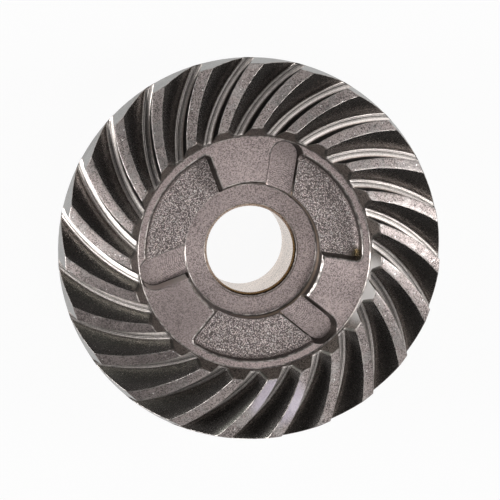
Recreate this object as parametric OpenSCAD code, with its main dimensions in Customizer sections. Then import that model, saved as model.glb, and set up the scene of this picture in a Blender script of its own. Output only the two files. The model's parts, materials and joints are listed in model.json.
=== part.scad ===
// Spiral bevel gear with a three-dog clutch face, one piece of forged and machined steel.
// Z is the gear's axis, Z = 0 is the end of the hub, and the teeth and dogs face up.
// All sizes in millimetres, all angles in degrees.

/* [Blank] */

// Height of the dog face above the end of the hub
dog_face_h = 32.6; // [32:0.1:36]
// Largest diameter, at the foot of the heel band
outer_d = 100; // [99:0.1:101]
// How far the heel band leans out from the tooth tips to its foot
band_flare = 1.05; // [0.8:0.05:1.3]
// Height of the heel band
band_h = 9.2; // [9:0.1:9.6]
// Drop of the tooth tips below the dog face at the heel
heel_tip_drop = 1.8; // [1.6:0.1:2]
// Diameter over the tooth tips at the toe
toe_tip_d = 65.4; // [65:0.1:66]
// Rise of the tooth tips above the dog face at the toe
toe_tip_rise = 5.5; // [5.2:0.1:5.8]
// Outer diameter of the ring that carries the dogs
ring_d = 60.7; // [60.4:0.1:61]
// Rise of the foot of the toes above the dog face
toe_foot_rise = 0.7; // [0.6:0.05:0.8]
// Gap between the ring and the foot of the toes
toe_foot_gap = 0.1; // [0.05:0.05:0.2]
// Depth of the groove between the ring and the toes, below the dog face
toe_groove_depth = 0.5; // [0.45:0.05:0.8]
// Broken edge of the ring
ring_edge = 0.25; // [0.2:0.05:0.4]

/* [Teeth] */

// Number of teeth
teeth = 23; // [21:1:24]
// Spiral angle in the middle of the face width
spiral_angle = 35.5; // [33:0.5:37]
// Diameter of the root cone where the spiral angle is taken
spiral_d = 79; // [78:0.5:80]
// Radius of the face-mill cutter that sweeps each tooth space
cutter_r = 50; // [46:1:54]
// Slope of the cutter blades, which becomes the slope of the tooth sides
blade_angle = 20; // [19:0.5:21]
// Width of the flat floor between the root fillets
floor_w = 1.5; // [1.3:0.1:1.7]
// Radius of the root fillets
root_fillet = 0.4; // [0.3:0.05:0.5]
// Angle of the root cone, measured from the axis
root_angle = 56.9; // [56.5:0.1:57.3]
// Height of the root cone's point above the dog face
root_apex_h = 20.97; // [20.8:0.01:21.2]
// Turn of the first tooth space about the axis
tooth_turn = 9.2; // [0:0.1:15]

/* [Dog clutch] */

// Number of dogs
dogs = 3; // [2:1:3]
// Turn of the first drive face about the axis
drive_turn = 81.4; // [0:0.1:119]
// Angle of a recess, from its drive face to the coast face of the next dog
recess_angle = 90; // [86:0.5:94]
// Distance of the coast face from the line through the axis that runs parallel to it
coast_offset = 1.85; // [1.5:0.05:2.2]
// Depth of the forged pockets below the dog face
pocket_depth = 3.2; // [2.8:0.1:3.6]
// Draft of the pocket walls
pocket_draft = 15; // [12:1:17]
// Width of the rim that closes the pockets, at the dog face
rim_w = 2; // [1.6:0.1:2.4]
// Corner radius between a coast face and the rim, at the dog face
pocket_corner_r = 1.4; // [1.2:0.1:1.8]
// Depth of the milled slots below the dog face
slot_depth = 5.2; // [4.8:0.1:5.6]
// Width of the slot floor
slot_floor_w = 6.8; // [6.4:0.1:7]
// Draft of the slot walls, the drive face among them
slot_draft = 10; // [8:1:11]
// Distance of the slot's round end, at its centre, from the axis
slot_reach = 26.3; // [26:0.1:26.4]

/* [Bore and hub] */

// Diameter of the bore
bore_d = 22.6; // [21:0.1:24]
// Chamfer of the bore at the end of the hub
bore_end_chamfer = 0.5; // [0.3:0.05:0.8]
// Width of the lead-in where the bore meets the counterbore
bore_mouth_w = 0.75; // [0.5:0.05:1]
// Depth of that lead-in
bore_mouth_h = 1.3; // [1:0.1:1.6]
// Depth of the counterbore below the dog face
counterbore_depth = 8.1; // [7.6:0.1:8.6]
// Diameter of the counterbore's floor
counterbore_d = 34.5; // [33:0.1:34.8]
// Draft of the counterbore's wall
counterbore_draft = 5; // [4:0.5:6]
// Chamfer between the counterbore and the dog faces
counterbore_chamfer = 0.5; // [0.3:0.05:0.6]
// Diameter of the hub's bearing journal
hub_d = 40; // [38:0.1:44]
// Chamfer at the end of the hub
hub_chamfer = 1; // [0.6:0.1:1.5]
// Diameter of the shoulder that the bearing sits against
shoulder_d = 52; // [50:0.5:56]
// Height of the shoulder above the end of the hub
shoulder_h = 12.6; // [12:0.1:13]
// How far the shoulder stands off the back face
shoulder_step = 1; // [0.6:0.1:1.4]
// Diameter at which the flat back face turns into the back cone
back_face_d = 80; // [78:0.5:82]

/* [Hidden] */

$fn = 96;

// Room by which a cut runs past the surface it opens
over = 1;

// The blank's corners, as radius and height
outer_r = outer_d / 2;
heel_tip_r = outer_r - band_flare;
heel_tip_z = dog_face_h - heel_tip_drop;
band_foot_z = heel_tip_z - band_h;
toe_tip_r = toe_tip_d / 2;
toe_tip_z = dog_face_h + toe_tip_rise;
ring_r = ring_d / 2;
toe_foot_r = ring_r + toe_foot_gap;
toe_foot_z = dog_face_h + toe_foot_rise;
toe_groove_z = dog_face_h - toe_groove_depth;
back_face_z = shoulder_h + shoulder_step;
hub_r = hub_d / 2;
bore_r = bore_d / 2;

// The cutter's path, in the plane that touches the root cone
root_apex_z = dog_face_h + root_apex_h;
mean_cone_distance = spiral_d / 2 / sin(root_angle);
cutter_sweep = 50;
blade_h = band_h + heel_tip_drop + 2 * over;

// The blade's profile: the fillet's centre and where it meets the blade's side
fillet_x = floor_w / 2;
fillet_meet_x = fillet_x + root_fillet * cos(blade_angle);
fillet_meet_z = root_fillet * (1 - sin(blade_angle));
blade_top_x = fillet_meet_x + (blade_h - fillet_meet_z) * tan(blade_angle);

// The recesses, in a frame whose X axis runs along a drive face
recess_top = dog_face_h + over;
pocket_r = ring_r - rim_w;
pocket_floor_z = dog_face_h - pocket_depth;
slot_floor_z = dog_face_h - slot_depth;
slot_floor_r = slot_floor_w / 2;
slot_top_r = slot_floor_r + (slot_depth + over) * tan(slot_draft);
slot_face_r = slot_floor_r + slot_depth * tan(slot_draft);
slot_mid_y = -slot_face_r;
slot_end_x = sqrt(slot_reach * slot_reach - slot_face_r * slot_face_r);
corner_x = coast_offset + pocket_corner_r;
corner_r = pocket_r - pocket_corner_r;
corner_y = -sqrt(corner_r * corner_r - corner_x * corner_x);
pocket_lean = pocket_depth * tan(pocket_draft);
pocket_lean_over = over * tan(pocket_draft);

counterbore_floor_z = dog_face_h - counterbore_depth;
counterbore_floor_r = counterbore_d / 2;
counterbore_face_r = counterbore_floor_r + counterbore_depth * tan(counterbore_draft);
counterbore_top_r = counterbore_face_r + over * tan(counterbore_draft);

steel = [0.56, 0.53, 0.53];

// The turned forging: hub, shoulder, back, heel band, face cone, toes and dog ring
module blank() {
    rotate_extrude()
        polygon([
            [0, 0],
            [hub_r - hub_chamfer, 0],
            [hub_r, hub_chamfer],
            [hub_r, shoulder_h],
            [shoulder_d / 2, shoulder_h],
            [shoulder_d / 2, back_face_z],
            [back_face_d / 2, back_face_z],
            [outer_r, band_foot_z],
            [heel_tip_r, heel_tip_z],
            [toe_tip_r, toe_tip_z],
            [toe_foot_r, toe_foot_z],
            [ring_r, toe_groove_z],
            [ring_r, dog_face_h - ring_edge],
            [ring_r - ring_edge, dog_face_h],
            [0, dog_face_h]
        ]);
}

// One blade of the cutter: a flat tip, a round at each corner and two sloping sides
module blade() {
    polygon([
        [-fillet_meet_x, fillet_meet_z],
        [-fillet_x, 0],
        [fillet_x, 0],
        [fillet_meet_x, fillet_meet_z],
        [blade_top_x, blade_h],
        [-blade_top_x, blade_h]
    ]);
    for (side = [-1, 1])
        translate([side * fillet_x, root_fillet])
            circle(r = root_fillet);
}

// One tooth space: the cutter's axis stands square to the root cone,
// and the blade sweeps an arc that curls clockwise from the toe to the heel
module tooth_space() {
    translate([0, 0, root_apex_z])
        rotate([0, 90 - root_angle, 0])
        translate([
            mean_cone_distance - cutter_r * sin(spiral_angle),
            -cutter_r * cos(spiral_angle),
            0
        ])
        rotate([0, 0, 90 - spiral_angle - cutter_sweep / 2])
        rotate_extrude(angle = cutter_sweep)
        translate([cutter_r, 0])
        blade();
}

// The forged pocket: a quarter of the ring with leaning walls and one round corner
module pocket() {
    depth = pocket_depth + over;
    // up to the rim
    intersection() {
        translate([0, 0, pocket_floor_z])
            cylinder(
                r1 = pocket_r - pocket_lean,
                r2 = pocket_r + pocket_lean_over,
                h = depth
            );
        translate([corner_x, -pocket_r - over, pocket_floor_z])
            cube([pocket_r + over, pocket_r + over + slot_mid_y, depth]);
    }
    // up to the coast face of the next dog
    intersection() {
        translate([0, 0, pocket_floor_z])
            cylinder(r = corner_r, h = depth);
        translate([0, slot_mid_y, pocket_floor_z])
            rotate([90, 0, 0])
            linear_extrude(height = pocket_r)
            polygon([
                [coast_offset + pocket_lean, 0],
                [pocket_r, 0],
                [pocket_r, depth],
                [coast_offset - pocket_lean_over, depth]
            ]);
    }
    // the corner between them
    translate([corner_x, corner_y, pocket_floor_z])
        cylinder(
            r1 = pocket_corner_r - pocket_lean,
            r2 = pocket_corner_r + pocket_lean_over,
            h = depth
        );
}

// The milled slot: its counter-clockwise wall is the drive face, its round end cuts the rim
module slot() {
    depth = slot_depth + over;
    translate([slot_end_x, slot_mid_y, slot_floor_z])
        cylinder(r1 = slot_floor_r, r2 = slot_top_r, h = depth);
    translate([0, slot_mid_y, slot_floor_z])
        rotate([90, 0, 90])
        linear_extrude(height = slot_end_x)
        polygon([
            [-slot_floor_r, 0],
            [slot_floor_r, 0],
            [slot_top_r, depth],
            [-slot_top_r, depth]
        ]);
}

// The recess between two dogs: the pocket squares up to the coast face, the slot to the drive face
module recess() {
    rotate([0, 0, 90 - recess_angle])
        pocket();
    slot();
}

// The counterbore inside the dogs, with its broken edge
module counterbore() {
    translate([0, 0, counterbore_floor_z])
        cylinder(
            r1 = counterbore_floor_r,
            r2 = counterbore_top_r,
            h = counterbore_depth + over
        );
    translate([0, 0, dog_face_h - counterbore_chamfer])
        cylinder(
            r1 = counterbore_face_r,
            r2 = counterbore_face_r + counterbore_chamfer + over,
            h = counterbore_chamfer + over
        );
}

// The plain bore, with a chamfer at the end of the hub and a lead-in at the counterbore
module bore() {
    translate([0, 0, -over])
        cylinder(r = bore_r, h = dog_face_h + 2 * over);
    translate([0, 0, -over])
        cylinder(
            r1 = bore_r + bore_end_chamfer + over,
            r2 = bore_r,
            h = bore_end_chamfer + over
        );
    translate([0, 0, counterbore_floor_z - bore_mouth_h])
        cylinder(
            r1 = bore_r,
            r2 = bore_r + bore_mouth_w * (1 + over / bore_mouth_h),
            h = bore_mouth_h + over
        );
}

module gear() {
    color(steel)
        difference() {
            blank();
            for (i = [0 : teeth - 1])
                rotate([0, 0, tooth_turn + i * 360 / teeth])
                    tooth_space();
            for (i = [0 : dogs - 1])
                rotate([0, 0, drive_turn + i * 360 / dogs])
                    recess();
            counterbore();
            bore();
        }
}

gear();
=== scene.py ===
# %% [markdown]
# # A spiral bevel gear with a dog clutch on its face
#
# The gear is one piece of steel: curved teeth on a cone, a ring with three dogs inside them, a
# counterbore and a plain bore. The CAD model gives its size and place. This lesson rebuilds its surface
# as a mesh with broken edges and gives each machined or forged zone its own finish.

import json
import math

import bmesh
import bpy
import numpy as np
from mathutils import Matrix, Vector


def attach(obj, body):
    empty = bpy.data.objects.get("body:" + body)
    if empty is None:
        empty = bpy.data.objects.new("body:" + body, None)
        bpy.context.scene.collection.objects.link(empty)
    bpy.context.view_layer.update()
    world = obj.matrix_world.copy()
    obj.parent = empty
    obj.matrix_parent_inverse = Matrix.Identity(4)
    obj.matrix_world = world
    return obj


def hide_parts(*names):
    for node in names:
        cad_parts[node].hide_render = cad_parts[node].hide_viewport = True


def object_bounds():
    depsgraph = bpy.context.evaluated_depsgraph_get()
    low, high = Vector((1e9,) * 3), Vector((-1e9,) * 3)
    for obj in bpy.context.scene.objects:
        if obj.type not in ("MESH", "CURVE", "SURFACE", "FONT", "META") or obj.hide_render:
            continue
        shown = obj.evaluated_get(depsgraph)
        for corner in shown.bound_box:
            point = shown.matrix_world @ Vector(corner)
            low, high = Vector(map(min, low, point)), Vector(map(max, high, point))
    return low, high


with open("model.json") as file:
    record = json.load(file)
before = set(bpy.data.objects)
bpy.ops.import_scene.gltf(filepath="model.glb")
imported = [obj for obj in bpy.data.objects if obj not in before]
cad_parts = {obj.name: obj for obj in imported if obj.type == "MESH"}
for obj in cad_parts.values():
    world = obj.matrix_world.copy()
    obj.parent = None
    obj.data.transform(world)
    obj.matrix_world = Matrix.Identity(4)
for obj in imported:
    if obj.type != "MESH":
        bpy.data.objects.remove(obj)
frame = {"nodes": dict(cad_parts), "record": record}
cad_low, cad_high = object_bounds()
MM = 0.001
print("CAD box, mm:", [round(v / MM, 1) for v in (*cad_low, *cad_high)])

# %% [markdown]
# ## Sizes
#
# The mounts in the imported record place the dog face, the bore, the journal and the shoulder, and the
# part's box gives the largest diameter. The other sizes are the ones that the gear was cut to. They are
# in millimetres here, because that is how such a drawing is read, and each point is scaled to metres when
# it is put into the mesh.

# %% Sizes from the frame
mounts = {m["name"]: m for m in frame["record"]["mounts"]}


def mount_height(name):
    """A mount's height above the end of the hub, in millimetres."""
    return mounts[name]["pos_m"][2] / MM


dog_face_h = mount_height("dog_face")
shoulder_h = mount_height("bearing_shoulder")
outer_r = cad_high.x / MM
bore_r = mounts["shaft_bore"]["dims"]["r_mm"]
hub_r = mounts["bearing_journal"]["dims"]["r_mm"]
print("dog face at", dog_face_h, "mm, outer radius", round(outer_r, 2), "mm")

# %% Sizes of the toothed rim
teeth = 23
heel_tip_r = outer_r - 1.05
heel_tip_z = dog_face_h - 1.8
band_foot_z = heel_tip_z - 9.2
toe_tip_r = 32.7
toe_tip_z = dog_face_h + 5.5
ring_r = 30.35
toe_foot_r = ring_r + 0.1
toe_foot_z = dog_face_h + 0.7
root_cone = 56.9
root_lean = math.radians(90 - root_cone)
root_apex_z = dog_face_h + 20.97
tooth_turn = math.radians(9.2)
pitch_turn = 2 * math.pi / teeth
print("one tooth every", round(math.degrees(pitch_turn), 2), "degrees")

# %% [markdown]
# ## Camera
#
# The gear was seen from almost straight above, through a long lens, so its circles are nearly round. The
# camera stands about nine degrees off the gear's axis, towards its upper left. The gear's own axes are
# written as the picture shows them, by how far each points to the right, up and back to the camera, and
# those three rows are the camera's turn.

# %% Camera
view_tilt = math.radians(8.87)
view_turn = math.radians(38.3)
view_distance = 1.554
picture_px = 500
mm_per_px = 0.259
shift_px = Vector((-4.1, 2.5))
sensor_mm = 36
far_clip = 20

picture_width = picture_px * mm_per_px * MM
picture_shift = shift_px * mm_per_px * MM
axis_seen = Vector(
    (
        math.sin(view_tilt) * math.cos(view_turn),
        -math.sin(view_tilt) * math.sin(view_turn),
        math.cos(view_tilt),
    )
)
x_seen = Vector((0, 1, 0)).cross(axis_seen).normalized()
y_seen = axis_seen.cross(x_seen)
turn_to_view = Matrix((x_seen, y_seen, axis_seen))
cam_right, cam_up, cam_back = turn_to_view.transposed()

camera = bpy.data.objects.new("camera", bpy.data.cameras.new("camera"))
bpy.context.scene.collection.objects.link(camera)
bpy.context.scene.camera = camera
camera.data.sensor_width = sensor_mm
camera.data.lens = sensor_mm * view_distance / picture_width
camera.data.clip_end = far_clip
face_centre = Vector((0, 0, dog_face_h * MM))
camera.location = (
    face_centre
    + cam_right * picture_shift.x
    + cam_up * picture_shift.y
    + cam_back * view_distance
)
camera.rotation_mode = "QUATERNION"
camera.rotation_quaternion = turn_to_view.to_quaternion()
print("lens", round(camera.data.lens), "mm, camera at", [round(v, 3) for v in camera.location])

# %% [markdown]
# ## The tooth spaces
#
# A gear like this is face-milled: a cup-shaped cutter turns about an axis square to the root cone, and its
# blades sweep a curved slot. The slot's section is the blade: a flat tip, two rounds and two sloping sides.
# A fine groove along the floor, a little off its middle, is the mark of the blade's corner. The slots could
# be cut out of the blank with booleans, but a mesh from a boolean has slivers that spoil the reflections.
# Here the same sweep is written as a formula, so each space is a clean grid of quads from toe to heel.

# %% The cutter and its blade
cutter_r = 50
mean_r = 39.5
spiral = math.radians(35.5)
mean_distance = mean_r / math.cos(root_lean)
cutter_x = mean_distance - cutter_r * math.sin(spiral)
cutter_y = -cutter_r * math.cos(spiral)
mid_turn = math.pi / 2 - spiral
half_sweep = math.radians(25)

blade_slope = math.radians(20)
floor_half = 0.75
fillet_r = 0.4
flank_foot_x = floor_half + fillet_r * math.cos(blade_slope)
flank_foot_h = fillet_r * (1 - math.sin(blade_slope))

FLANK_STEPS = 7
FILLET_STEPS = 6
mark_aside = 0.3
mark_half = 0.16
mark_brink = 0.2
mark_depth = 0.12


def blade_places():
    """Stations across a space, from its clockwise side: side, share of the flank, offset and height."""
    flank = [(1 - i / FLANK_STEPS) for i in range(FLANK_STEPS)]
    turns = [i / FILLET_STEPS * (math.pi / 2 - blade_slope) for i in range(FILLET_STEPS + 1)]
    fillet = [
        (
            floor_half + fillet_r * math.cos(blade_slope + t),
            fillet_r * (1 - math.sin(blade_slope + t)),
        )
        for t in turns
    ]
    left = [(-1, t, 0, 0) for t in flank] + [(-1, 0, -x, h) for x, h in fillet]
    mark = [
        (0, 0, mark_aside + x, -mark_depth if x == 0 else 0)
        for x in (-mark_brink, -mark_half, 0, mark_half, mark_brink)
    ]
    right = [(1, 0, x, h) for x, h in reversed(fillet)] + [(1, t, 0, 0) for t in reversed(flank)]
    return np.array(left + mark + right, float)


places = blade_places()
last = len(places) - 1
middle = last // 2
print(len(places), "stations across a tooth space, the tool mark at number", middle)


# %% Points on the cutter and on the blank's cones
def on_cutter(turn, offset, height):
    """A point of the first space, in millimetres, from its place on the cutter."""
    along = cutter_x + (cutter_r + offset) * np.cos(turn)
    y = cutter_y + (cutter_r + offset) * np.sin(turn)
    x = along * math.cos(root_lean) + height * math.sin(root_lean)
    z = root_apex_z - along * math.sin(root_lean) + height * math.cos(root_lean)
    return np.stack([x, y, z], axis=-1)


def cone_radius(z, low, high):
    """The radius at a height of the cone through two corners of the blank, given as radius and height."""
    return low[0] + (z - low[1]) * (high[0] - low[0]) / (high[1] - low[1])


def beyond(point, low, high):
    """How far a point lies outside the cone through two corners of the blank."""
    return np.hypot(point[..., 0], point[..., 1]) - cone_radius(point[..., 2], low, high)


HALVINGS = 45


def bisect(function, low, high):
    """Where a rising function of an array crosses nought."""
    for _ in range(HALVINGS):
        mid = (low + high) / 2
        rising = function(mid) > 0
        low, high = np.where(rising, low, mid), np.where(rising, mid, high)
    return (low + high) / 2


# %% Points of a space
heel_tip = (heel_tip_r, heel_tip_z)
toe_tip = (toe_tip_r, toe_tip_z)
band_foot = (outer_r, band_foot_z)
toe_foot = (toe_foot_r, toe_foot_z)
blade_reach = 15.0
side, share, offset, height = places.T


def flank_at(turn, up):
    """The points of the flanks at a height above the root."""
    return on_cutter(turn, side * (flank_foot_x + (up - flank_foot_h) * math.tan(blade_slope)), up)


def space_points(turn):
    """One point for each station across the space, with the flanks stretched up to the tooth tips."""
    low, high = np.zeros_like(turn), np.full_like(turn, blade_reach)
    tip = bisect(lambda up: beyond(flank_at(turn, up), heel_tip, toe_tip), low, high)
    up = flank_foot_h + share * (tip - flank_foot_h)
    plain = on_cutter(turn, offset, height)
    return np.where((share > 0)[:, None], flank_at(turn, up), plain)


start = np.full(len(places), mid_turn)
toe_turn = bisect(lambda t: -beyond(space_points(t), toe_foot, toe_tip), start, start + half_sweep)
heel_turn = bisect(lambda t: -beyond(space_points(t), band_foot, heel_tip), start - half_sweep, start)
print("cutter turns from", np.degrees(toe_turn).round(1)[[0, middle, last]], "at the toe")
print("to", np.degrees(heel_turn).round(1)[[0, middle, last]], "at the heel")

# %% One tooth space as a grid
LENGTH_STEPS = 36
steps = np.linspace(0, 1, LENGTH_STEPS + 1)
turns = np.outer(1 - steps, toe_turn) + np.outer(steps, heel_turn)
space = np.array([space_points(row) for row in turns])
print("space grid", space.shape, "lowest point", round(space[..., 2].min(), 2), "mm")

# %% [markdown]
# ## Lands and tooth ends
#
# Between two spaces stands a tooth. Its top land lies on the face cone, its inner end, the toe, on a steep
# cone beside the dog ring, and its outer end, the heel, on the band. All three are filled in on their cones
# between the edges of neighbouring spaces, so that they share those edges and a bevel can round them. The
# spaces also keep how far each point lies along and across the tooth, for the cutter's lines.

# %% Mesh and its zones
ZONES = [
    "flank", "root", "land", "toe", "band", "back", "bore",
    "face", "slot", "pocket", "wall", "edge",
]
zone = {name: i for i, name in enumerate(ZONES)}
mesh = bmesh.new()
tooth_map = mesh.loops.layers.uv.new("grain")


def turned(point, turn):
    """A point turned about the gear's axis, scaled to metres."""
    c, s = math.cos(turn), math.sin(turn)
    return Vector((point[0] * c - point[1] * s, point[0] * s + point[1] * c, point[2])) * MM


def angle_of(vert):
    """A vertex's angle round the gear's axis."""
    return math.atan2(vert.co.y, vert.co.x)


def add_faces(grid, zone_name, map_grid=None, flip=False):
    """Quads over a grid of vertices, each with its zone and, where it is given, its place on the tooth."""
    for i in range(len(grid) - 1):
        for j in range(len(grid[0]) - 1):
            corner = [(i, j), (i + 1, j), (i + 1, j + 1), (i, j + 1)]
            if flip:
                corner.reverse()
            face = mesh.faces.new([grid[a][b] for a, b in corner])
            face.material_index = zone[zone_name(j) if callable(zone_name) else zone_name]
            if map_grid is not None:
                for loop, (a, b) in zip(face.loops, corner):
                    loop[tooth_map].uv = map_grid[a][b]


def on_cone(turn, z, low, high):
    """A new vertex on the cone through two corners of the blank, at an angle and a height in metres."""
    r = MM * cone_radius(z / MM, low, high)
    return mesh.verts.new((r * math.cos(turn), r * math.sin(turn), z))


def span(first, second, count, low, high):
    """Vertices between two others, on the cone through two corners of the blank."""
    made = []
    turn = (angle_of(second) - angle_of(first) + math.pi) % (2 * math.pi) - math.pi
    for i in range(1, count):
        t = i / count
        z = first.co.z + (second.co.z - first.co.z) * t
        made.append(on_cone(angle_of(first) + turn * t, z, low, high))
    return made


# %% Spaces
half_way = space[LENGTH_STEPS // 2]
across = np.concatenate([[0], np.cumsum(np.linalg.norm(np.diff(half_way, axis=0), axis=1))])
along = (mid_turn - turns) * cutter_r
tooth_offset = 100


def space_zone(j):
    """The zone of a space's quads by their number across it."""
    on_root = FLANK_STEPS <= j < last - FLANK_STEPS
    return "root" if on_root else "flank"


spaces = []
for k in range(teeth):
    turn = tooth_turn + k * pitch_turn
    grid = [[mesh.verts.new(turned(p, turn)) for p in row] for row in space]
    place = [[(a + tooth_offset * k, c) for a, c in zip(row, across)] for row in along]
    add_faces(grid, space_zone, place)
    spaces.append(grid)
print(len(mesh.faces), "faces on the spaces")

# %% Lands
LAND_STEPS = 4
lands = []
for k in range(teeth):
    clockwise = spaces[k]
    counter = spaces[(k + 1) % teeth]
    rows = []
    for i in range(LENGTH_STEPS + 1):
        first = clockwise[i][last]
        second = counter[i][0]
        rows.append([first, *span(first, second, LAND_STEPS, heel_tip, toe_tip), second])
    add_faces(rows, "land")
    lands.append(rows)
print(len(mesh.faces), "faces with the lands")

# %% Toe and heel ends
SPLIT = FLANK_STEPS + FILLET_STEPS // 2
END_STEPS = 3


def tooth_ends(row, low, high, zone_name, flip):
    """The ends of all teeth on one cone, and the strip below them down to that cone's lower corner."""
    columns = []
    for k in range(teeth):
        clockwise = spaces[k][row]
        counter = spaces[(k + 1) % teeth][row]
        rows = [lands[k][row]]
        for j in range(1, SPLIT + 1):
            first = clockwise[last - j]
            second = counter[j]
            rows.append([first, *span(first, second, LAND_STEPS, low, high), second])
        add_faces(rows, zone_name, flip=flip)
        columns += clockwise[middle : last - SPLIT] + rows[-1] + counter[SPLIT + 1 : middle]
    strip = [columns]
    for i in range(1, END_STEPS + 1):
        ring = []
        for top in columns:
            z = top.co.z + (low[1] * MM - top.co.z) * i / END_STEPS
            ring.append(on_cone(angle_of(top), z, low, high))
        strip.append(ring)
    add_faces([[*ring, ring[0]] for ring in strip], zone_name, flip=flip)
    angle = np.unwrap([angle_of(v) for v in columns])
    print(zone_name, "columns", len(columns), "least turn", round(float(np.diff(angle).min()), 5))
    return strip[-1]


toe_ring = tooth_ends(0, toe_foot, toe_tip, "toe", True)
foot_ring = tooth_ends(LENGTH_STEPS, band_foot, heel_tip, "band", False)

# %% [markdown]
# ## Turned strips, back, hub and bore
#
# A turned shape is one outline spun round the axis. A narrow strip, curved like a fillet, leads from the
# feet of the toes onto the dog ring and ends just under its face, so that no gap shows. The hidden side is
# turned too: a back cone under the teeth, a flat back, a shoulder for the bearing, the journal and the
# bore, up to the small round in the corner of the counterbore. It starts from the foot of the heel band,
# so both share that edge.


# %% The strip beside the toes
def spin(ring, r, z, zone_name, flip=False):
    """The turned strip from a ring of vertices to a circle, and that circle's vertices."""
    turns = [angle_of(v) for v in ring]
    circle = [mesh.verts.new((r * MM * math.cos(a), r * MM * math.sin(a), z * MM)) for a in turns]
    add_faces([[*ring, ring[0]], [*circle, circle[0]]], zone_name, flip=flip)
    return circle


# How far each circle lies inside the feet of the toes, and how far above the dog face
strip_steps = ((0.05, 0.35), (0.15, 0.25), (0.29, 0.18), (0.33, -0.3))
ring = toe_ring
for drop, rise in strip_steps:
    ring = spin(ring, toe_foot_r - drop, dog_face_h + rise, "edge", True)
print(len(mesh.faces), "faces with the tooth ends and the strip")

# %% Turned surfaces
back_face_z = shoulder_h + 1
back_rim_r = 40
shoulder_r = 26
hub_chamfer = 1
bore_chamfer = 0.5
counterbore_floor_z = dog_face_h - 8.1
counterbore_r = 17.25
corner_r = 0.25
mouth_z = counterbore_floor_z - 1.3
mouth_r = bore_r + 0.75
outline = [
    ("back", back_rim_r, back_face_z),
    ("back", shoulder_r, back_face_z),
    ("back", shoulder_r, shoulder_h),
    ("back", hub_r, shoulder_h),
    ("back", hub_r, hub_chamfer),
    ("back", hub_r - hub_chamfer, 0),
    ("back", bore_r + bore_chamfer, 0),
    ("bore", bore_r, bore_chamfer),
    ("bore", bore_r, mouth_z),
    ("bore", mouth_r, counterbore_floor_z),
    ("face", counterbore_r - corner_r, counterbore_floor_z),
    ("edge", counterbore_r - corner_r / 3, counterbore_floor_z + corner_r / 3),
    ("edge", counterbore_r, counterbore_floor_z + corner_r),
]
ring = foot_ring
for name, r, z in outline:
    ring = spin(ring, r, z, name)
print(len(mesh.faces), "faces with the back, the hub and the bore")

# %% [markdown]
# ## The dog ring
#
# Inside the teeth stands the ring with the three dogs, between them a milled slot and a rough forged
# pocket each. Its walls are plain and its faces are flat, so its surface comes straight from the CAD
# model: the triangles that lie inside the ring's edge and above the counterbore's floor are kept, and
# those on one plane are dissolved into one face, which leaves clean edges for the bevel.

# %% Dog ring from the CAD model
slot_floor_z = dog_face_h - 5.2
pocket_floor_z = dog_face_h - 3.2
near = 0.02
same_plane = math.radians(0.3)

cad = bmesh.new()
cad.from_mesh(frame["nodes"]["gear"].data)
bmesh.ops.remove_doubles(cad, verts=cad.verts, dist=near * MM)


def in_ring(face):
    """Whether a face belongs to the dog ring."""
    corners = [(math.hypot(v.co.x, v.co.y) / MM, v.co.z / MM) for v in face.verts]
    inside = all(r < ring_r + near and z > counterbore_floor_z - near for r, z in corners)
    return inside and any(z > counterbore_floor_z + near for r, z in corners)


bmesh.ops.delete(cad, geom=[f for f in cad.faces if not in_ring(f)], context="FACES")
bmesh.ops.dissolve_limit(cad, angle_limit=same_plane, verts=cad.verts, edges=cad.edges)
print(len(cad.faces), "faces of the CAD model make the dog ring")

# %% Zones of the dog ring
milled_lean = 12
forged_lean = 20
flat_lean = 80


def ring_zone(face):
    """The zone of a face of the dog ring, by how far it leans back from upright and by its height."""
    z = face.calc_center_median().z / MM
    lean = math.degrees(math.asin(max(-1, min(1, face.normal.z))))
    if lean < milled_lean:
        return "wall"
    if lean < forged_lean:
        return "pocket"
    if lean < flat_lean:
        return "edge"
    if abs(z - slot_floor_z) < near:
        return "slot"
    return "pocket" if abs(z - pocket_floor_z) < near else "face"


copies = {v: mesh.verts.new(v.co) for v in cad.verts}
for face in cad.faces:
    copy = mesh.faces.new([copies[v] for v in face.verts])
    copy.material_index = zone[ring_zone(face)]
print(len(copies), "points on the dog ring,", len(mesh.faces), "faces in all")

# %% [markdown]
# ## Rounds at the feet of the pockets
#
# A forging die has no sharp corners, so the outer wall of each pocket runs into its floor in a round. A
# bevel could make it too, but it would have to end against the walls on both sides. Here a strip of quads
# with the round's profile is laid into the corner, over each edge between a pocket's floor and the wall
# that looks at the axis, and the CAD model's faces stay as they are under it.

# %% Rounds at the feet of the pockets
die_round = 1.2
round_lean = 75
ROUND_STEPS = 3
steep = 0.5
upward = 0.9
in_line = 0.7
rounds = {}


def round_column(corner):
    """The points of the round above one corner of a pocket's floor, from the floor up the wall."""
    if corner not in rounds:
        outward = corner.co.xy.normalized()
        reach = die_round * math.tan(math.radians(round_lean / 2))
        rounds[corner] = []
        for step in range(ROUND_STEPS + 1):
            lean = math.radians(round_lean * step / ROUND_STEPS)
            aside = outward * (die_round * math.sin(lean) - reach) * MM
            rise = (die_round * (1 - math.cos(lean)) + near) * MM
            rounds[corner].append(mesh.verts.new(corner.co + Vector((aside.x, aside.y, rise))))
    return rounds[corner]


def looks_outward(face):
    """How far a face looks away from the gear's axis, from -1 to 1."""
    outward = face.calc_center_median().xy.normalized()
    return face.normal.xy.normalized().dot(outward)


def faces_axis(face):
    """Whether a face is steep and looks towards the gear's axis."""
    return face.normal.z < steep and looks_outward(face) < -in_line


for edge in cad.edges:
    pocket = [f for f in edge.link_faces if ring_zone(f) == "pocket"]
    at_foot = any(faces_axis(f) for f in pocket) and any(f.normal.z > upward for f in pocket)
    if len(pocket) == 2 and at_foot:
        first, second = edge.verts
        if first.co.xy.cross(second.co.xy) < 0:
            first, second = second, first
        add_faces(list(zip(round_column(first), round_column(second))), "pocket")
cad.free()
print(len(rounds), "points along the pockets' feet")

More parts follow.
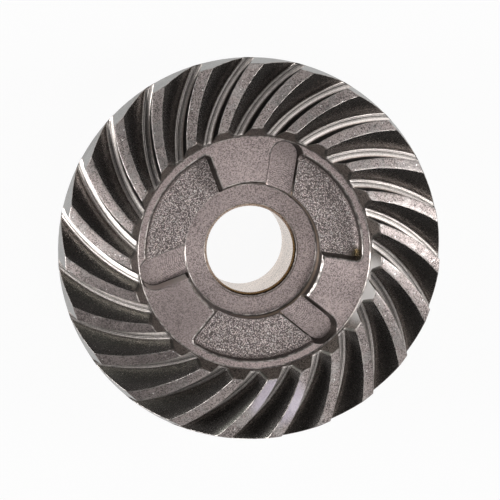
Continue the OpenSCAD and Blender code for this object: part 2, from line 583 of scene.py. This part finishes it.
# %% [markdown]
# ## Broken edges
#
# No edge on a real gear is sharp: burrs are brushed off and handling rounds the rest, so every corner
# catches a thin line of light. Each outer edge gets a weight, and one Bevel modifier rounds them all in one
# pass, more at the toes than along the lands. It puts the rounded strips on a slot of their own, which
# takes a burnished finish. The chamfers that the CAD model already has stay flat, with a fine broken edge
# round the counterbore, and inner corners stay crisp.

# %% Edge weights
EDGE_MM = 0.6
TOE_END = 1.0
POCKET_BRIM = 0.6
BACK_EDGE = 0.4
DOG_EDGE = 0.3
FINE_EDGE = 0.2
LEFT_SHARP = 0
counterbore_rim = 18.6
weight = mesh.edges.layers.float.new("bevel_weight_edge")
wide_ends = {v for grid in spaces for v in grid[0][last - FLANK_STEPS :]}
chamfered = {v for f in mesh.faces if f.material_index == zone["edge"] for v in f.verts}


def on_counterbore(edge):
    """Whether an edge lies on the counterbore or its chamfer."""
    return all(math.hypot(v.co.x, v.co.y) < counterbore_rim * MM for v in edge.verts)


def edge_weight(edge, zones):
    """The share of the full round that an outer edge gets, by the zones that meet there."""
    if zones == {"flank", "toe"} and wide_ends.issuperset(edge.verts):
        return TOE_END
    if zones == {"face", "pocket"}:
        return POCKET_BRIM
    if zones == {"edge", "face"} and on_counterbore(edge):
        return FINE_EDGE
    if chamfered.intersection(edge.verts):
        return LEFT_SHARP
    if "back" in zones or "toe" in zones:
        return BACK_EDGE
    return DOG_EDGE if zones == {"face", "wall"} else FINE_EDGE


# %% Round or crisp edges
sharp_turn = math.radians(25)
mesh.normal_update()
rounded = 0
for edge in mesh.edges:
    if not edge.is_manifold or edge.calc_face_angle() < sharp_turn:
        continue
    zones = {ZONES[f.material_index] for f in edge.link_faces}
    if zones == {"root"}:
        continue
    if edge.is_convex:
        edge[weight] = edge_weight(edge, zones)
        edge.smooth = edge[weight] > 0
        rounded += edge.smooth
    else:
        edge.smooth = False
print(rounded, "edges are rounded")


# %% Ends of the pockets
def ends_pocket(face):
    """Whether a face is one of the steep walls that close a pocket towards a dog."""
    if face.material_index != zone["pocket"] or face.normal.z > steep:
        return False
    return abs(looks_outward(face)) < in_line


# The ends of the pockets take the walls' near-black finish, which is painted shade
end_walls = 0
for face in mesh.faces:
    face.smooth = True
    if ends_pocket(face):
        face.material_index = zone["wall"]
        end_walls += 1
print(end_walls, "faces close the pockets and take the walls' finish")

# %% The gear's body
data = bpy.data.meshes.new("gear_body")
mesh.to_mesh(data)
mesh.free()
gear = bpy.data.objects.new("gear_body", data)
bpy.context.scene.collection.objects.link(gear)

bevel = gear.modifiers.new("broken_edges", "BEVEL")
bevel.limit_method = "WEIGHT"
bevel.width = EDGE_MM * MM
bevel.segments = 3
bevel.use_clamp_overlap = False
bevel.material = zone["edge"]
shading = gear.modifiers.new("even_shading", "WEIGHTED_NORMAL")
shading.keep_sharp = True

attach(gear, "root")
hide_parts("gear")
print(len(data.polygons), "faces before the bevel")

# %% [markdown]
# ## Writing finishes
#
# A finish is a small network of shader nodes. Drawn by hand it is hard to read, so one class wraps a socket:
# plain arithmetic on it adds Math nodes, and one method adds any other node. A finish then reads as a few
# lines of sums. Places on the gear are in millimetres, and patterns have so many cells to the millimetre.


# %% A socket that can be reckoned with
class Shade:
    """A socket in a node tree. Arithmetic on it adds Math nodes."""

    def __init__(self, tree, socket=None):
        self.tree = tree
        self.socket = socket

    def node(self, kind, settings=None, inputs=None, output=0):
        """Adds a node: its settings first, then the values or links of its sockets."""
        made = self.tree.nodes.new(kind)
        for name, value in (settings or {}).items():
            setattr(made, name, value)
        for name, value in (inputs or {}).items():
            if isinstance(value, Shade):
                self.tree.links.new(value.socket, made.inputs[name])
            else:
                made.inputs[name].default_value = value
        return Shade(self.tree, made.outputs[output])

    def maths(self, operation, *values):
        return self.node("ShaderNodeMath", {"operation": operation}, dict(enumerate(values)))

    def __add__(self, other):
        return self.maths("ADD", self, other)

    def __radd__(self, other):
        return self.maths("ADD", other, self)

    def __sub__(self, other):
        return self.maths("SUBTRACT", self, other)

    def __rsub__(self, other):
        return self.maths("SUBTRACT", other, self)

    def __mul__(self, other):
        return self.maths("MULTIPLY", self, other)

    def __rmul__(self, other):
        return self.maths("MULTIPLY", other, self)

    def __truediv__(self, other):
        return self.maths("DIVIDE", self, other)

    def __rtruediv__(self, other):
        return self.maths("DIVIDE", other, self)


# %% Places and patterns that the finishes share
def place_mm(shade):
    """The place on the gear, in millimetres."""
    where = shade.node("ShaderNodeTexCoord", output="Object")
    return shade.node("ShaderNodeVectorMath", {"operation": "SCALE"}, {0: where, "Scale": 1 / MM})


def parts(shade, vector):
    """The three parts of a vector."""
    split = shade.node("ShaderNodeSeparateXYZ", {}, {0: vector}).socket.node
    return [Shade(shade.tree, socket) for socket in split.outputs]


def from_axis(x, y):
    """The distance from the gear's axis."""
    return x.maths("SQRT", x * x + y * y)


def noise(shade, where, per_mm, detail, rough):
    """A cloudy pattern."""
    inputs = {"Vector": where, "Scale": per_mm, "Detail": detail, "Roughness": rough}
    return shade.node("ShaderNodeTexNoise", {}, inputs)


def grains(shade, where, per_mm):
    """A random level for each crystal of a grainy skin."""
    colour = shade.node("ShaderNodeTexVoronoi", {}, {"Vector": where, "Scale": per_mm}, "Color")
    return parts(shade, colour)[0]


def ramp(shade, value, low, high):
    """Nought below low, one above high, and smooth between them."""
    limits = {"Value": value, "From Min": low, "From Max": high}
    return shade.node("ShaderNodeMapRange", {"interpolation_type": "SMOOTHSTEP"}, limits)


def spot(shade, where, centre, near, far):
    """One up to a distance from a point and nought beyond another."""
    points = {0: where, 1: centre}
    distance = shade.node("ShaderNodeVectorMath", {"operation": "DISTANCE"}, points, "Value")
    return 1 - ramp(shade, distance, near, far)


def blend(shade, mask, first, second):
    """One colour where the mask is nought and another where it is one."""
    return shade.node("ShaderNodeMix", {"data_type": "RGBA"}, {0: mask, 6: first, 7: second}, 2)


def relief(shade, height, depth_mm):
    """A surface normal for a height pattern that runs from nought to one over a depth."""
    return shade.node("ShaderNodeBump", {}, {"Height": height, "Distance": depth_mm * MM})


# %% Casts of the steel and its oil
MAUVE = (1.145, 0.944, 0.913)
DUSK = (1.115, 0.964, 0.921)
BROWN = (1.08, 0.988, 0.932)
UMBER = (1.16, 0.985, 0.86)
OLIVE = (1.02, 1.01, 0.9)
SILVER = (1.02, 1.005, 0.975)
GOLD = (1.35, 0.95, 0.45)
AMBER = (1.22, 0.97, 0.72)
LILAC = (1.07, 0.97, 1.12)


def tint(cast, level):
    """A grey of one level with one of the casts."""
    return tuple(level * c for c in cast) + (1,)


# %% Slots for the finishes
QUARTER_TURN = 0.25


def finish(name, colour, roughness, normal, metallic=1.0, stretch=0.0, glance=1.0):
    """Puts a finish on the gear's slot of that name.

    Stretch spreads the shine of turned work across its rings, and glance is how bright the surface is
    at a glancing angle.
    """
    tree = materials[name].node_tree
    shader = tree.nodes["Principled BSDF"]
    shader.inputs["Anisotropic"].default_value = stretch
    shader.inputs["Anisotropic Rotation"].default_value = QUARTER_TURN
    shader.inputs["Specular Tint"].default_value = (glance, glance, glance, 1)
    shader.inputs["Metallic"].default_value = metallic
    for socket, value in {"Base Color": colour, "Roughness": roughness, "Normal": normal}.items():
        tree.links.new(value.socket, shader.inputs[socket])
    print(name, "finish has", len(tree.nodes), "nodes")


materials = {}
for name in ZONES:
    materials[name] = bpy.data.materials.new(name)
    materials[name].use_nodes = True
    gear.data.materials.append(materials[name])
print(len(materials), "slots for finishes")

# %% [markdown]
# ## Machined faces
#
# The dog faces, the ring and the counterbore's floor were turned and then treated, which left a skin of fine
# crystals: a dull mauve grey with an even grain. One cell pattern gives each crystal its own level, another
# sets dark specks among them, and a broad noise makes the slow drift of tone across the part. Painted shade
# darkens one side of the faces and painted highlights lighten two places, and old oil has left a thin ring
# round the bore.

# %% Treated steel
CRYSTALS = 4.2
SPECKS = 3


def dull_steel(shade, cast, level, contrast):
    """Colour, roughness and relief of the treated steel, with its grain and small pits."""
    where = place_mm(shade)
    grain = grains(shade, where, CRYSTALS)
    cloud = noise(shade, where, per_mm=4.5, detail=2, rough=0.7)
    broad = noise(shade, where, per_mm=0.09, detail=3, rough=0.5)
    pits = ramp(shade, noise(shade, where, per_mm=2.2, detail=2, rough=0.5), low=0.66, high=0.76)
    from_speck = shade.node("ShaderNodeTexVoronoi", {}, {"Vector": where, "Scale": SPECKS})
    clear = ramp(shade, from_speck, low=0.1, high=0.6)
    drift = ramp(shade, broad, low=0.3, high=0.7)
    tone = ramp(shade, grain * 0.6 + clear * 0.25 + drift * 0.15, low=0.15, high=0.85)
    colour = blend(shade, tone, tint(cast, level * (1 - contrast)), tint(cast, level * (1 + contrast)))
    colour = blend(shade, pits * 0.12, colour, tint(cast, level * 0.35))
    return colour, 0.38 + broad * 0.1, relief(shade, cloud + grain * 0.4, depth_mm=0.03)


# %% Machined faces
COATED = 0.8
TURNED = 0.7
oil_r = bore_r + 1.1
oil_side = (6, -8, counterbore_floor_z)
# Centres of the painted shade and of the painted highlights on the faces
painted_shade_place = (-19, -15, dog_face_h)
painted_highlight_places = ((-22, 11, dog_face_h), (15, -21, dog_face_h))

shade = Shade(materials["face"].node_tree)
where = place_mm(shade)
x, y = parts(shade, where)[:2]
from_ring = x.maths("ABSOLUTE", from_axis(x, y) - oil_r)
colour, rough, normal = dull_steel(shade, MAUVE, level=0.33, contrast=0.52)
oily = spot(shade, where, oil_side, near=11, far=17)
ringed = (1 - ramp(shade, from_ring, low=0.08, high=0.2)) * (0.2 + oily * 0.5)
colour = blend(shade, ringed, colour, tint(AMBER, 0.06))
# Painted shade on one side of the faces, and painted highlights in two places
painted_shade = spot(shade, where, painted_shade_place, near=3, far=17)
colour = blend(shade, painted_shade * 0.45, colour, tint(MAUVE, 0.16))
for painted_highlight_place in painted_highlight_places:
    painted_light = spot(shade, where, painted_highlight_place, near=3, far=13)
    colour = blend(shade, painted_light * 0.3, colour, tint(MAUVE, 0.5))
finish("face", colour, rough, normal, COATED, stretch=TURNED)

# %% [markdown]
# ## Slot floors
#
# An end mill cut the slots. Each of its turns left an arc as wide as the slot, so the floor is lined with
# curves that follow one another outwards. The three slots are folded into one by the turn about the axis,
# and the arcs are the distance along the slot, bent by the mill's radius. Towards the round end of a slot
# they fade and the floor is darker.

# %% Slot floors
dogs = 3
drive_turn = math.radians(81.4)
mill_r = 3.4
slot_side = 4.32
arc_pitch = 0.55
least = 0.01
fade_r = 22

shade = Shade(materials["slot"].node_tree)
where = place_mm(shade)
x, y = parts(shade, where)[:2]
third = 2 * math.pi / dogs
turn = x.maths("ARCTAN2", y, x) - drive_turn
turn = turn - x.maths("ROUND", turn / third) * third
radius = from_axis(x, y)
along_slot = radius * x.maths("COSINE", turn)
aside = radius * x.maths("SINE", turn) + slot_side
bow = x.maths("SQRT", x.maths("MAXIMUM", mill_r**2 - aside * aside, least))
wobble = noise(shade, where, per_mm=0.35, detail=1, rough=0.5)
phase = (along_slot - bow + wobble * 0.5) * (2 * math.pi / arc_pitch)
arcs = x.maths("SINE", phase) * 0.5 + 0.5
arcs = arcs * (1 - ramp(shade, radius, low=fade_r, high=27))
colour, rough, normal = dull_steel(shade, MAUVE, level=0.36, contrast=0.58)
colour = blend(shade, arcs * 0.6, colour, tint(MAUVE, 0.14))
colour = blend(shade, ramp(shade, radius, low=fade_r, high=30) * 0.5, colour, tint(MAUVE, 0.2))
finish("slot", colour, rough - arcs * 0.06, normal, COATED)

# %% [markdown]
# ## Forged pockets
#
# The pockets were left as the forging die made them: a coarse skin of blasted scale. A cell pattern gives
# the little domes, a noise breaks them up, and the tops are brighter than the hollows, some with painted
# glints. The walls are painted dark above their foot as shade. Old oil has stayed in one corner, where it
# is nearly black with a painted glint of gold.

# %% Forged pockets
DOMES = 3.2
stain_place = (27.6, -0.9, dog_face_h - 2.6)
painted_glint_place = (27.2, 0.1, pocket_floor_z + 0.2)

shade = Shade(materials["pocket"].node_tree)
where = place_mm(shade)
dome = {"Vector": where, "Scale": DOMES, "Smoothness": 0.3}
cells = shade.node("ShaderNodeTexVoronoi", {"feature": "SMOOTH_F1"}, dome)
skin = noise(shade, where, per_mm=3.4, detail=3, rough=0.65)
grain = grains(shade, where, CRYSTALS)
lumps = skin * 0.6 + (1 - cells) * 0.35
tops = ramp(shade, lumps + grain * 0.12, low=0.47, high=0.7)
colour = blend(shade, tops, tint(MAUVE, 0.14), tint(DUSK, 0.78))
# Painted glints: silver specks on the tops of the domes
bright = ramp(shade, grain, low=0.9, high=0.95)
colour = blend(shade, bright * tops, colour, tint(SILVER, 0.95))
z = parts(shade, where)[2]
# Painted shade: the walls darker above their foot
painted_upper_shade = ramp(shade, z, low=pocket_floor_z + 1.0, high=pocket_floor_z + 1.6)
colour = blend(shade, painted_upper_shade * 0.85, colour, tint(UMBER, 0.04))
oil = spot(shade, where, stain_place, near=0.8, far=3.2)
colour = blend(shade, oil, colour, tint(GOLD, 0.05))
# A painted glint of gold in the oil
painted_glint = spot(shade, where, painted_glint_place, near=0.25, far=0.8)
colour = blend(shade, painted_glint, colour, tint(GOLD, 0.16))
finish("pocket", colour, 0.5 - tops * 0.16 - oil * 0.25, relief(shade, lumps, depth_mm=0.25), COATED)

# %% [markdown]
# ## Walls and toes
#
# The walls of the slots, the ends of the pockets and the toes of the teeth carry the darker skin of the
# treatment; on the walls it is painted nearly black as shade. A few toes on one side are rubbed bright, and
# one slot's wall is painted light where it faces the lamps. The counterbore's wall is painted nearly black
# as shade, with a band of painted light in brown round the middle of one side.

# %% Toes
DULL = 0.55
bright_place = (29.8, -9.7, dog_face_h + 2)

shade = Shade(materials["toe"].node_tree)
colour, rough, normal = dull_steel(shade, UMBER, level=0.085, contrast=1.0)
bright = spot(shade, place_mm(shade), bright_place, near=6, far=11)
colour = blend(shade, bright, colour, tint(SILVER, 0.5))
finish("toe", colour, rough, normal, DULL)

# %% Walls
painted_light_place = (-22, -7.3, dog_face_h - 2.5)

shade = Shade(materials["wall"].node_tree)
where = place_mm(shade)
x, y, z = parts(shade, where)
radius = from_axis(x, y)
# Painted shade: the walls are nearly black
colour, rough, normal = dull_steel(shade, UMBER, level=0.06, contrast=0.9)
off_floor = ramp(shade, z, low=slot_floor_z + 0.5, high=slot_floor_z + 1.2)
# Painted light on one slot's wall, where it faces the lamps
painted_light = spot(shade, where, painted_light_place, near=6, far=6.6) * off_floor
colour = blend(shade, painted_light * 0.8, colour, tint(BROWN, 1.0))
turned_wall = 1 - ramp(shade, radius, low=counterbore_rim - 0.2, high=counterbore_rim)
above_foot = ramp(shade, z, low=counterbore_floor_z + 1.2, high=counterbore_floor_z + 2)
below_top = 1 - ramp(shade, z, low=counterbore_floor_z + 3, high=counterbore_floor_z + 5)
# Painted shade on the counterbore's wall, with a painted band of light on one side
painted_lit_band = above_foot * below_top * ramp(shade, x, low=-9, high=3)
counterbore_light_and_shade = blend(shade, painted_lit_band, tint(UMBER, 0.05), tint(AMBER, 0.36))
colour = blend(shade, turned_wall, colour, counterbore_light_and_shade)
finish("wall", colour, rough - 0.08, normal, COATED)

# %% [markdown]
# ## Turned work
#
# The heel band, the back, the journal and the bore are bright turned steel with fine rings. A noise of one
# dimension, which changes only with the radius and the height, gives the rings, so they run right round.
# The chamfer at the mouth of the bore is brown with old oil on one side.


# %% Turned steel
def turned_steel(shade, cast, level, pitch):
    """Colour, fine grain and relief of bright steel with the rings that a lathe tool leaves."""
    where = place_mm(shade)
    x, y, z = parts(shade, where)
    feed = from_axis(x, y) + z
    line = shade.node("ShaderNodeTexNoise", {"noise_dimensions": "1D"}, {"W": feed, "Scale": 1 / pitch})
    fine = grains(shade, where, CRYSTALS)
    broad = noise(shade, where, per_mm=0.12, detail=2, rough=0.5)
    tone = ramp(shade, line * 0.55 + fine * 0.25 + broad * 0.2, low=0.3, high=0.7)
    colour = blend(shade, tone, tint(cast, level * 0.5), tint(cast, level * 1.5))
    return colour, fine, relief(shade, line * 0.7 + fine * 0.3, depth_mm=0.02)


# %% Heel band and back
shade = Shade(materials["band"].node_tree)
colour, fine, normal = turned_steel(shade, SILVER, level=0.26, pitch=0.3)
finish("band", colour, 0.3 + fine * 0.1, normal)

shade = Shade(materials["back"].node_tree)
colour, fine, normal = turned_steel(shade, BROWN, level=0.32, pitch=0.22)
finish("back", colour, 0.32 + fine * 0.1, normal)

# %% Bore
shade = Shade(materials["bore"].node_tree)
where = place_mm(shade)
colour, fine, normal = turned_steel(shade, UMBER, level=0.54, pitch=0.25)
z = parts(shade, where)[2]
at_brim = ramp(shade, z, low=mouth_z + 0.5, high=mouth_z + 0.8)
brown = blend(shade, at_brim, tint(GOLD, 0.3), tint(AMBER, 0.05))
oily = spot(shade, where, oil_side, near=11, far=17)
at_mouth = ramp(shade, z, low=mouth_z - 0.4, high=mouth_z + 0.1)
colour = blend(shade, at_mouth * oily, colour, brown)
finish("bore", colour, 0.24 + fine * 0.08, normal)

# %% [markdown]
# ## Flanks and roots
#
# The flanks are the working sides. They are smooth and dark, with faint lines along the tooth from the
# cutter's blades. On one side of the gear the wide flanks are painted paler towards the root as a painted
# reflection, and in one place they have a painted sheen under their tips. The narrow flanks are painted
# nearly black as shade. The roots are brighter and show the same lines, with painted light on the narrow
# flank's side, a darker line in the tool mark and a second fine line beside it.


# %% Cut steel
# Lines that are long along the tooth and fine across it
LONG_LINES = (0.03, 3.0, 1)


def place_on_tooth(shade):
    """How far along a tooth and across its space, from the tip of the narrow flank, in millimetres."""
    return shade.node("ShaderNodeUVMap", {"uv_map": "grain"})


def cut_steel(shade, cast, level, contrast, lines):
    """Colour, fine grain and relief of a surface that the gear cutter left."""
    where = place_mm(shade)
    drawn_out = {0: place_on_tooth(shade), 1: LONG_LINES}
    stretched = shade.node("ShaderNodeVectorMath", {"operation": "MULTIPLY"}, drawn_out)
    line = noise(shade, stretched, per_mm=1, detail=3, rough=0.65)
    fine = grains(shade, where, CRYSTALS)
    broad = noise(shade, where, per_mm=0.16, detail=2, rough=0.5)
    tone = ramp(shade, line * lines + fine * (0.8 - lines) + broad * 0.2, low=0.2, high=0.8)
    colour = blend(shade, tone, tint(cast, level * (1 - contrast)), tint(cast, level * (1 + contrast)))
    return colour, fine, relief(shade, line, depth_mm=0.02)


# %% Flanks
# Centre of the painted shading: paler flanks and darker lands on that side
painted_shading_place = (-34, -22, dog_face_h + 2)
painted_sheen_place = (-3, -43, dog_face_h - 3)
narrow_foot = float(across[FLANK_STEPS])
wide_foot = float(across[last - FLANK_STEPS])
wide_tip = float(across[last])

shade = Shade(materials["flank"].node_tree)
where = place_mm(shade)
across_mm = parts(shade, place_on_tooth(shade))[1]
colour, fine, normal = cut_steel(shade, BROWN, level=0.205, contrast=0.5, lines=0.6)
near_root = 1 - ramp(shade, across_mm, low=wide_foot + 1, high=wide_tip - 1)
on_wide = ramp(shade, across_mm, low=wide_foot - 0.1, high=wide_foot)
# Painted reflection: the wide flanks paler towards the root on one side
painted_shading = spot(shade, where, painted_shading_place, near=16, far=34)
colour = blend(shade, near_root * painted_shading * on_wide * 0.7, colour, tint(OLIVE, 0.36))
# Painted shade: the narrow flanks nearly black, paler towards their foot
on_narrow = 1 - ramp(shade, across_mm, low=narrow_foot, high=narrow_foot + 0.1)
at_foot = ramp(shade, across_mm, low=narrow_foot * 0.6, high=narrow_foot)
painted_narrow_shade = blend(shade, at_foot * (0.6 + fine * 0.4), tint(BROWN, 0.02), tint(BROWN, 0.15))
colour = blend(shade, on_narrow, colour, painted_narrow_shade)
# A painted sheen under the tips of the wide flanks
near_tip = ramp(shade, across_mm, low=wide_tip - 2.5, high=wide_tip - 0.3)
painted_sheen = spot(shade, where, painted_sheen_place, near=5, far=11) * near_tip
colour = blend(shade, painted_sheen * 0.7, colour, tint(OLIVE, 0.9))
rough = 0.24 + fine * 0.04 + on_narrow * (1 - at_foot) * 0.2
finish("flank", colour, rough, normal, metallic=0.85, glance=0.3)

# %% Roots
mark_at = float(across[middle])
line_aside = 0.6

shade = Shade(materials["root"].node_tree)
across_mm = parts(shade, place_on_tooth(shade))[1]
colour, fine, normal = cut_steel(shade, BROWN, level=0.43, contrast=0.4, lines=0.5)
# Painted light on the narrow flank's side of the root floor
painted_light_narrow_side = 1 - ramp(shade, across_mm, low=mark_at - 0.7, high=mark_at - 0.4)
colour = blend(shade, painted_light_narrow_side * (0.5 + fine * 0.4), colour, tint(BROWN, 0.9))
# Darker along the tool mark
from_mark = across_mm.maths("ABSOLUTE", across_mm - mark_at)
dark_in_mark = 1 - ramp(shade, from_mark, low=0.08, high=0.26)
colour = blend(shade, dark_in_mark * 0.7, colour, tint(BROWN, 0.05))
from_line = across_mm.maths("ABSOLUTE", across_mm - (mark_at - line_aside))
line = 1 - ramp(shade, from_line, low=0.04, high=0.14)
colour = blend(shade, line * 0.5, colour, tint(BROWN, 0.08))
finish("root", colour, 0.28 + fine * 0.08, normal, metallic=0.95)

# %% [markdown]
# ## Top lands
#
# The top lands were never cut again after the blank was turned and keep a grainy skin with a few painted
# glints. It is rubbed paler in patches, painted darker as shade on one side of the gear, and tinged violet
# in one place, like a heat colour.

# %% Top lands
violet_place = (6.5, -38, dog_face_h + 2)

shade = Shade(materials["land"].node_tree)
where = place_mm(shade)
patch = noise(shade, where, per_mm=0.16, detail=3, rough=0.6)
rubbed = ramp(shade, patch, low=0.5, high=0.55)
# Painted shade: the lands darker on one side of the gear
painted_shading = spot(shade, where, painted_shading_place, near=13, far=24)
colour, rough, normal = dull_steel(shade, DUSK, level=0.262, contrast=0.75)
colour = blend(shade, rubbed * (0.3 - painted_shading * 0.3), colour, tint(SILVER, 0.4))
colour = blend(shade, painted_shading * 0.4, colour, tint(MAUVE, 0.1))
# Painted glints: a few silver grains
painted_sparkle = ramp(shade, grains(shade, where, per_mm=3.4), low=0.992, high=0.996)
colour = blend(shade, painted_sparkle, colour, tint(SILVER, 0.9))
violet = spot(shade, where, violet_place, near=5, far=9)
colour = blend(shade, violet * 0.7, colour, tint(LILAC, 0.6))
finish("land", colour, rough - rubbed * 0.08, normal, metallic=0.92)

# %% [markdown]
# ## Edges
#
# The broken edges are rubbed bright. They shine along most of their length and go dull where the skin still
# covers them, so a noise thins the shine out here and there. The rounds down the sides of the toes are
# painted dark as shade that dims their highlights, by a mask of radius and height, and made rougher.

# %% Edges
shade = Shade(materials["edge"].node_tree)
where = place_mm(shade)
dull = ramp(shade, noise(shade, where, per_mm=0.6, detail=3, rough=0.6), low=0.42, high=0.62)
fine = noise(shade, where, per_mm=2.6, detail=3, rough=0.6)
colour = blend(shade, dull, tint(BROWN, 0.46), tint(BROWN, 0.16))
x, y, z = parts(shade, where)
radius = from_axis(x, y)
past_ring = ramp(shade, radius, low=toe_foot_r + 0.3, high=toe_foot_r + 0.6)
on_toe = past_ring * (1 - ramp(shade, radius, low=toe_tip_r + 0.5, high=toe_tip_r + 1.1))
# Painted shade on the rounds down the sides of the toes
painted_toe_shade = on_toe * (1 - ramp(shade, z, low=toe_tip_z - 0.9, high=toe_tip_z - 0.4))
colour = blend(shade, painted_toe_shade * 0.85, colour, tint(OLIVE, 0.1))
finish("edge", colour, 0.28 + dull * 0.15 + painted_toe_shade * 0.15, relief(shade, fine, depth_mm=0.03))

# %% [markdown]
# ## Floor and light
#
# The gear lies on a plain white table. Ten soft lamps stand round it: one overhead, strong ones on its right
# and low on its left, and weak ones that fill in from the other sides. The room round them is nearly dark,
# which gives steel its contrast. The table is white to the camera and in reflections, but not quite all of
# it, so that it keeps a soft shadow.

# %% Floor
WHITE = (1, 1, 1, 1)
CLOTH = (0.8, 0.8, 0.8, 1)
floor_size = 8
whiteness = 0.94
bpy.ops.mesh.primitive_plane_add(size=floor_size)
floor = bpy.context.object
floor.name = "floor"
table_top = bpy.data.materials.new("table")
table_top.use_nodes = True
floor.data.materials.append(table_top)
shade = Shade(table_top.node_tree)
path = shade.node("ShaderNodeLightPath")
seen = path
for ray in ("Is Glossy Ray", "Is Transmission Ray"):
    seen = seen.maths("MAXIMUM", seen, Shade(path.tree, path.socket.node.outputs[ray]))
cloth = shade.node("ShaderNodeBsdfDiffuse", {}, {"Color": CLOTH})
white = shade.node("ShaderNodeEmission", {}, {"Color": WHITE, "Strength": 1.0})
mixed = shade.node("ShaderNodeMixShader", {}, {0: seen * whiteness, 1: cloth, 2: white})
surface = table_top.node_tree.nodes["Material Output"].inputs["Surface"]
table_top.node_tree.links.new(mixed.socket, surface)
print("floor", floor_size, "m wide,", len(table_top.node_tree.nodes), "nodes")

# %% World
room_light = 0.03
world = bpy.data.worlds.new("studio")
bpy.context.scene.world = world
world.use_nodes = True
backdrop = world.node_tree.nodes["Background"]
backdrop.inputs["Color"].default_value = WHITE
backdrop.inputs["Strength"].default_value = room_light
bpy.context.scene.view_settings.view_transform = "Standard"
print("the room gives a light of", room_light)

# %% Lamps
LAMP_REACH = 1.2


def softbox(name, turn, polar, size, level):
    """A soft lamp that faces the gear, placed by its turn and its angle from the gear's axis."""
    turn = math.radians(turn)
    polar = math.radians(polar)
    toward = Vector((math.sin(polar) * math.cos(turn), math.sin(polar) * math.sin(turn), math.cos(polar)))
    lamp = bpy.data.lights.new(name, "AREA")
    lamp.shape = "RECTANGLE"
    lamp.size, lamp.size_y = size
    lamp.energy = level * math.pi * size[0] * size[1]
    made = bpy.data.objects.new(name, lamp)
    made.location = toward * LAMP_REACH
    made.rotation_mode = "QUATERNION"
    made.rotation_quaternion = toward.to_track_quat("Z", "Y")
    bpy.context.scene.collection.objects.link(made)
    print(name, "lamp at", [round(v, 2) for v in made.location], "power", round(lamp.energy, 1))


softbox("overhead", turn=-55, polar=16, size=(0.4, 0.4), level=3.8)
softbox("right", turn=0, polar=57, size=(0.4, 0.4), level=11.0)
softbox("right fill", turn=45, polar=69, size=(0.8, 0.4), level=1.75)
softbox("left", turn=180, polar=74, size=(0.4, 0.6), level=11.5)
softbox("left low", turn=150, polar=80, size=(0.4, 0.4), level=11.0)
softbox("left fill", turn=180, polar=56, size=(0.4, 0.4), level=2.8)
softbox("back", turn=90, polar=45, size=(0.4, 0.4), level=2.4)
softbox("front", turn=300, polar=57, size=(0.4, 0.4), level=3.0)
softbox("left corner", turn=225, polar=66, size=(0.3, 0.3), level=1.5)
softbox("front fill", turn=270, polar=52, size=(0.4, 0.6), level=1.3)
